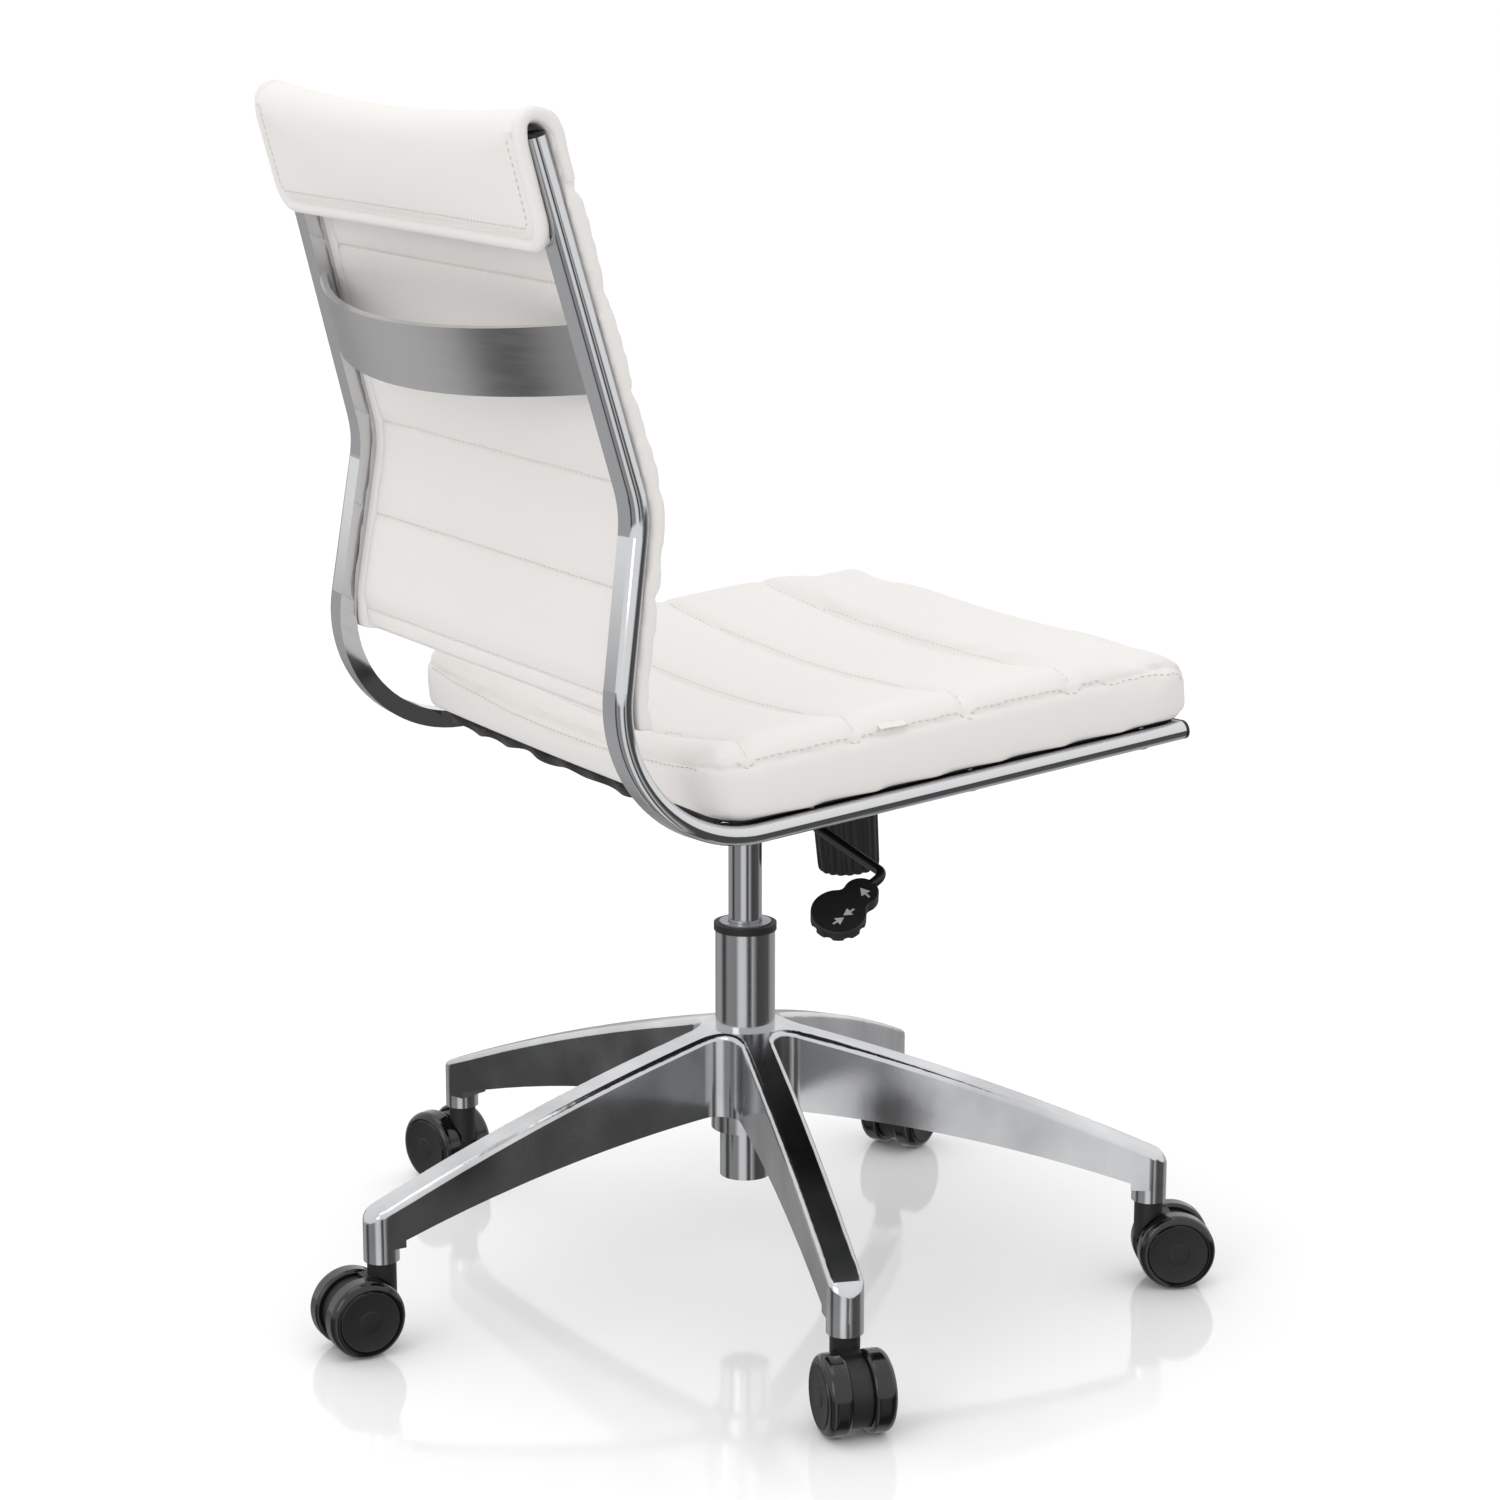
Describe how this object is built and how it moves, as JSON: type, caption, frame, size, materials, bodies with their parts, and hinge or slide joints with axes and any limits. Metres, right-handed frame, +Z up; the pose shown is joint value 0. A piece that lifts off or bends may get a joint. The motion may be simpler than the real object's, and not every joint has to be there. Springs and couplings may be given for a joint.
{
  "type": "swivel office chair",
  "caption": "Armless swivel office chair: quilted white seat and back on bent chrome side rails, gas lift with knee tilt, star base on casters.",
  "frame": {"origin": "on the floor under the axis of the column", "axes": "+Z up along the column; the sitter faces -Y and the back is towards +Y; +X is the sitter's left"},
  "size_m": [0.759, 0.7253, 0.9933],
  "materials": {
    "polished_aluminium": "polished die casting",
    "chrome_tube": "ground and plated",
    "polished_chrome": "mirror",
    "satin_steel": "satin",
    "zinc_steel": "zinc plated",
    "black_paint": "powder coated",
    "black_plastic": "fine texture",
    "gloss_black": "gloss rim",
    "white_leatherette": "smooth coated fabric",
    "plywood": "stained black",
    "black_cloth": "non-woven"
  },
  "bodies": {
    "base": {"five_star_base": "polished_aluminium", "column_outer_tube": "chrome_tube", "guide_bushing": "black_plastic", "bushing_washer": "zinc_steel", "thrust_bearing": "zinc_steel", "caster_stems": "zinc_steel"},
    "spindle": {"piston_rod": "zinc_steel", "retaining_clip": "zinc_steel"},
    "control": {"pressure_tube": "chrome_tube", "mechanism_housing": "black_paint", "tilt_axle": "zinc_steel", "tension_spring": "zinc_steel"},
    "valve": {"valve_pin": "zinc_steel"},
    "sleeve": {"lock_sleeve": "black_plastic", "lever_pivot_pin": "zinc_steel"},
    "lever": {"lever_rod": "black_paint", "valve_finger": "zinc_steel", "lever_paddle": "black_plastic"},
    "knob": {"tension_knob": "black_plastic", "tension_bolt": "zinc_steel"},
    "seat": {"seat_plate": "black_paint", "plate_bolts": "zinc_steel", "seat_board": "plywood", "rail_left": "polished_chrome", "rail_right": "polished_chrome", "rail_front_caps": "black_plastic", "rail_top_caps": "black_plastic", "rail_screws": "zinc_steel", "back_brace": "satin_steel", "seat_cushion": "white_leatherette", "dust_cover": "black_cloth", "back_pad": "white_leatherette", "back_panel": "white_leatherette", "head_roll": "white_leatherette"},
    "caster_1": {"caster_1_hood": "black_plastic", "caster_1_axle": "zinc_steel"},
    "caster_1_wheel_a": {"caster_1_wheel_a": "gloss_black"},
    "caster_1_wheel_b": {"caster_1_wheel_b": "gloss_black"},
    "caster_2": {"caster_2_hood": "black_plastic", "caster_2_axle": "zinc_steel"},
    "caster_2_wheel_a": {"caster_2_wheel_a": "gloss_black"},
    "caster_2_wheel_b": {"caster_2_wheel_b": "gloss_black"},
    "caster_3": {"caster_3_hood": "black_plastic", "caster_3_axle": "zinc_steel"},
    "caster_3_wheel_a": {"caster_3_wheel_a": "gloss_black"},
    "caster_3_wheel_b": {"caster_3_wheel_b": "gloss_black"},
    "caster_4": {"caster_4_hood": "black_plastic", "caster_4_axle": "zinc_steel"},
    "caster_4_wheel_a": {"caster_4_wheel_a": "gloss_black"},
    "caster_4_wheel_b": {"caster_4_wheel_b": "gloss_black"},
    "caster_5": {"caster_5_hood": "black_plastic", "caster_5_axle": "zinc_steel"},
    "caster_5_wheel_a": {"caster_5_wheel_a": "gloss_black"},
    "caster_5_wheel_b": {"caster_5_wheel_b": "gloss_black"}
  },
  "joints": [
    {"name": "column_swivel", "type": "hinge", "parent": "base", "child": "spindle", "pos_m": [0, 0, 0.1], "axis": [0, 0, 1], "continuous": true},
    {"name": "column_lift", "type": "slide", "parent": "spindle", "child": "control", "axis": [0, 0, 1], "range_m": [-0.09, 0]},
    {"name": "seat_tilt", "type": "hinge", "parent": "control", "child": "seat", "pos_m": [0, -0.1357, 0.46908], "axis": [-1, 0, 0], "range_deg": [0, 12], "stiffness_Nm_per_rad": 160, "springref_deg": -20.05, "deforming": ["tension_spring"]},
    {"name": "tilt_lock", "type": "slide", "parent": "control", "child": "sleeve", "axis": [1, 0, 0], "range_m": [0, 0.008]},
    {"name": "lever_lift", "type": "hinge", "parent": "sleeve", "child": "lever", "pos_m": [-0.052, -0.018, 0.414], "axis": [0, 1, 0], "range_deg": [0, 4]},
    {"name": "valve_press", "type": "slide", "parent": "control", "child": "valve", "axis": [0, 0, 1], "range_m": [-0.0038, 0]},
    {"name": "knob_turn", "type": "hinge", "parent": "control", "child": "knob", "pos_m": [0, -0.09992, 0.35963], "axis": [0, 0.0854, 0.9963], "range_deg": [-720, 720]},
    {"name": "caster_1_swivel", "type": "hinge", "parent": "base", "child": "caster_1", "pos_m": [0.32241, 0.10476, 0.06], "axis": [0, 0, 1], "continuous": true},
    {"name": "caster_1_roll_a", "type": "hinge", "parent": "caster_1", "child": "caster_1_wheel_a", "pos_m": [0.34327, 0.10996, 0.032], "axis": [-0.2419, 0.9703, 0], "continuous": true},
    {"name": "caster_1_roll_b", "type": "hinge", "parent": "caster_1", "child": "caster_1_wheel_b", "pos_m": [0.34327, 0.10996, 0.032], "axis": [-0.2419, 0.9703, 0], "continuous": true},
    {"name": "caster_2_swivel", "type": "hinge", "parent": "base", "child": "caster_2", "pos_m": [0, 0.339, 0.06], "axis": [0, 0, 1], "continuous": true},
    {"name": "caster_2_roll_a", "type": "hinge", "parent": "caster_2", "child": "caster_2_wheel_a", "pos_m": [0.00112, 0.36047, 0.032], "axis": [-0.9986, 0.0523, 0], "continuous": true},
    {"name": "caster_2_roll_b", "type": "hinge", "parent": "caster_2", "child": "caster_2_wheel_b", "pos_m": [0.00112, 0.36047, 0.032], "axis": [-0.9986, 0.0523, 0], "continuous": true},
    {"name": "caster_3_swivel", "type": "hinge", "parent": "base", "child": "caster_3", "pos_m": [-0.32241, 0.10476, 0.06], "axis": [0, 0, 1], "continuous": true},
    {"name": "caster_3_roll_a", "type": "hinge", "parent": "caster_3", "child": "caster_3_wheel_a", "pos_m": [-0.34318, 0.11032, 0.032], "axis": [-0.2588, -0.9659, 0], "continuous": true},
    {"name": "caster_3_roll_b", "type": "hinge", "parent": "caster_3", "child": "caster_3_wheel_b", "pos_m": [-0.34318, 0.11032, 0.032], "axis": [-0.2588, -0.9659, 0], "continuous": true},
    {"name": "caster_4_swivel", "type": "hinge", "parent": "base", "child": "caster_4", "pos_m": [-0.19926, -0.27426, 0.06], "axis": [0, 0, 1], "continuous": true},
    {"name": "caster_4_roll_a", "type": "hinge", "parent": "caster_4", "child": "caster_4_wheel_a", "pos_m": [-0.20902, -0.29341, 0.032], "axis": [0.891, -0.454, 0], "continuous": true},
    {"name": "caster_4_roll_b", "type": "hinge", "parent": "caster_4", "child": "caster_4_wheel_b", "pos_m": [-0.20902, -0.29341, 0.032], "axis": [0.891, -0.454, 0], "continuous": true},
    {"name": "caster_5_swivel", "type": "hinge", "parent": "base", "child": "caster_5", "pos_m": [0.19926, -0.27426, 0.06], "axis": [0, 0, 1], "continuous": true},
    {"name": "caster_5_roll_a", "type": "hinge", "parent": "caster_5", "child": "caster_5_wheel_a", "pos_m": [0.20902, -0.29341, 0.032], "axis": [0.891, 0.454, 0], "continuous": true},
    {"name": "caster_5_roll_b", "type": "hinge", "parent": "caster_5", "child": "caster_5_wheel_b", "pos_m": [0.20902, -0.29341, 0.032], "axis": [0.891, 0.454, 0], "continuous": true}
  ],
  "couplings": [
    {"joint": "valve_press", "follows": "lever_lift", "m_per_rad": -0.052}
  ]
}
